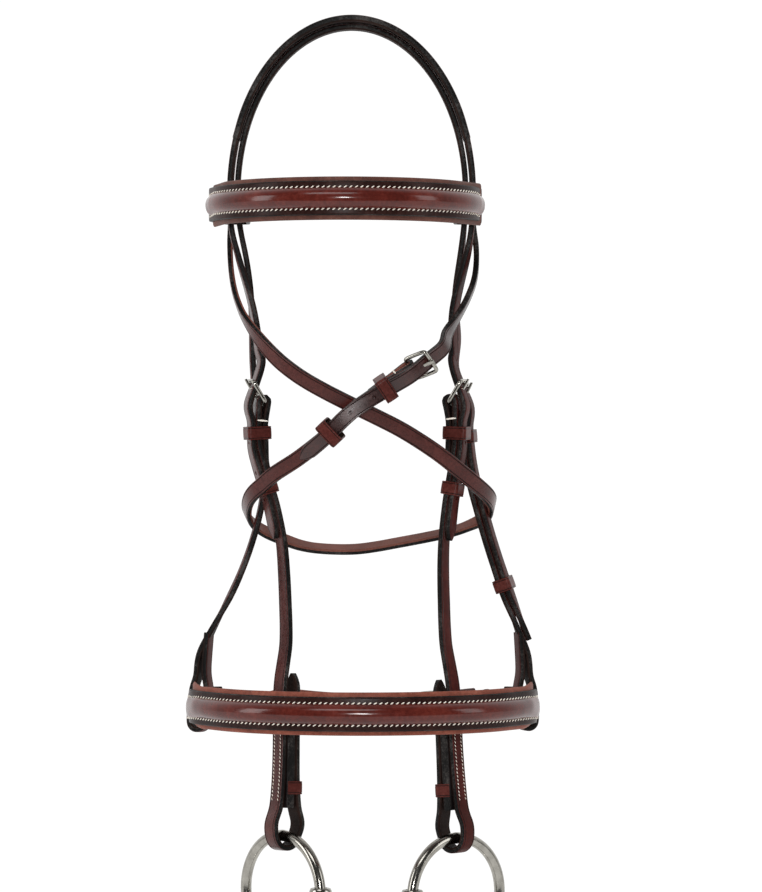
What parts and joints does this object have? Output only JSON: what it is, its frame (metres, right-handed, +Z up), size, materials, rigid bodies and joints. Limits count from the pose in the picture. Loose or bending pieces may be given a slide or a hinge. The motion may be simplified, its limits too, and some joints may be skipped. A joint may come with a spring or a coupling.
{
  "type": "hunter bridle",
  "caption": "Raised-leather hunter bridle with split crownpiece, padded browband and noseband, buckled cheeks and throatlatch, and a loose-ring jointed bit.",
  "frame": {"origin": "underside of the crown straps at the poll, where the bridle hangs", "axes": "+X to the horse's near side, -Y out through the face, +Z up"},
  "size_m": [0.2442, 0.1732, 0.6447],
  "materials": {
    "leather": "polished dark brown bridle leather with black edges",
    "keeper": "polished, creased along both edges",
    "lining": "soft tan leather, padded",
    "steel": "polished stainless steel"
  },
  "bodies": {
    "headstall": {"crownpiece": "leather", "off_cheekpiece": "leather", "near_cheekpiece": "leather", "off_stud_tab": "leather", "near_stud_tab": "leather", "browband_strap": "leather", "browband_roll": "leather", "noseband_headpiece": "leather", "near_noseband_cheek": "leather", "off_cheek_keeper": "keeper", "near_cheek_keeper": "keeper", "off_stud_keeper": "keeper", "near_stud_keeper": "keeper", "throat_keeper": "keeper", "hanger_keeper": "keeper", "browband_lining": "lining", "off_cheek_buckle": "steel", "near_cheek_buckle": "steel", "throat_buckle": "steel", "hanger_buckle": "steel", "off_hook_stud": "steel", "near_hook_stud": "steel"},
    "noseband": {"noseband_strap": "leather", "noseband_lining": "lining", "noseband_roll": "leather", "chin_buckle_strap": "leather", "chin_billet_strap": "leather", "chin_buckle": "steel", "chin_keeper": "keeper", "chin_pad": "lining"},
    "bit": {"off_mouthpiece": "steel"},
    "near_mouth_half": {"near_mouthpiece": "steel"},
    "off_bit_ring": {"off_ring": "steel"},
    "near_bit_ring": {"near_ring": "steel"},
    "off_cheek_tongue_body": {"off_cheek_tongue": "steel"},
    "near_cheek_tongue_body": {"near_cheek_tongue": "steel"},
    "hanger_tongue_body": {"hanger_tongue": "steel"},
    "throat_tongue_body": {"throat_tongue": "steel"},
    "chin_tongue_body": {"chin_tongue": "steel"},
    "off_cheek_runner_body": {"off_cheek_runner": "keeper"},
    "near_cheek_runner_body": {"near_cheek_runner": "keeper"},
    "throat_runner_body": {"throat_runner": "keeper"},
    "hanger_runner_body": {"hanger_runner": "keeper"}
  },
  "joints": [
    {"name": "off_cheek_tongue_turn", "type": "hinge", "parent": "headstall", "child": "off_cheek_tongue_body", "pos_m": [-0.0642, -0.01015, -0.25707], "axis": [0.2587, -0.9655, -0.0283], "range_deg": [0, 12]},
    {"name": "near_cheek_tongue_turn", "type": "hinge", "parent": "headstall", "child": "near_cheek_tongue_body", "pos_m": [0.06576, -0.01015, -0.25707], "axis": [0.2587, 0.9655, 0.0293], "range_deg": [0, 12]},
    {"name": "hanger_tongue_turn", "type": "hinge", "parent": "headstall", "child": "hanger_tongue_body", "pos_m": [0.0696, 0.01015, -0.25992], "axis": [0.2077, 0.9774, 0.0402], "range_deg": [0, 12]},
    {"name": "throat_tongue_turn", "type": "hinge", "parent": "headstall", "child": "throat_tongue_body", "pos_m": [0.03756, -0.056, -0.23541], "axis": [0.5209, 0.385, -0.7619], "range_deg": [0, 12]},
    {"name": "chin_tongue_turn", "type": "hinge", "parent": "noseband", "child": "chin_tongue_body", "pos_m": [0.05614, 0.0512, -0.47215], "axis": [0.1158, -0.0357, -0.9926], "range_deg": [0, 12]},
    {"name": "off_cheek_runner_slide", "type": "slide", "parent": "headstall", "child": "off_cheek_runner_body", "axis": [0.2947, -0.0282, -0.9552], "range_m": [-0.003, 0.003]},
    {"name": "near_cheek_runner_slide", "type": "slide", "parent": "headstall", "child": "near_cheek_runner_body", "axis": [-0.1522, -0.0289, -0.9879], "range_m": [-0.003, 0.003]},
    {"name": "throat_runner_slide", "type": "slide", "parent": "headstall", "child": "throat_runner_body", "axis": [-0.6933, 0.2969, -0.6567], "range_m": [-0.0015, 0.0015]},
    {"name": "hanger_runner_slide", "type": "slide", "parent": "headstall", "child": "hanger_runner_body", "axis": [0.3241, 0, -0.946], "range_m": [-0.003, 0.003]},
    {"name": "noseband_tilt", "type": "hinge", "parent": "headstall", "child": "noseband", "pos_m": [0.0048, 0.01015, -0.46638], "axis": [1, 0, 0], "range_deg": [-4, 4]},
    {"name": "bit_swing", "type": "hinge", "parent": "headstall", "child": "bit", "pos_m": [0.00945, -0.02426, -0.55483], "axis": [0.9999, 0, -0.0144], "range_deg": [-10, 10]},
    {"name": "mouth_link_turn", "type": "hinge", "parent": "bit", "child": "near_mouth_half", "pos_m": [0.00742, -0.00858, -0.62793], "axis": [0.6383, -0.1633, 0.7522], "range_deg": [-3, 3]},
    {"name": "off_ring_turn", "type": "hinge", "parent": "bit", "child": "off_bit_ring", "pos_m": [-0.04982, -0.02426, -0.59228], "axis": [0.7314, 0.682, 0], "continuous": true},
    {"name": "near_ring_turn", "type": "hinge", "parent": "near_mouth_half", "child": "near_bit_ring", "pos_m": [0.06873, -0.02426, -0.59398], "axis": [0.6157, -0.788, 0], "continuous": true}
  ]
}
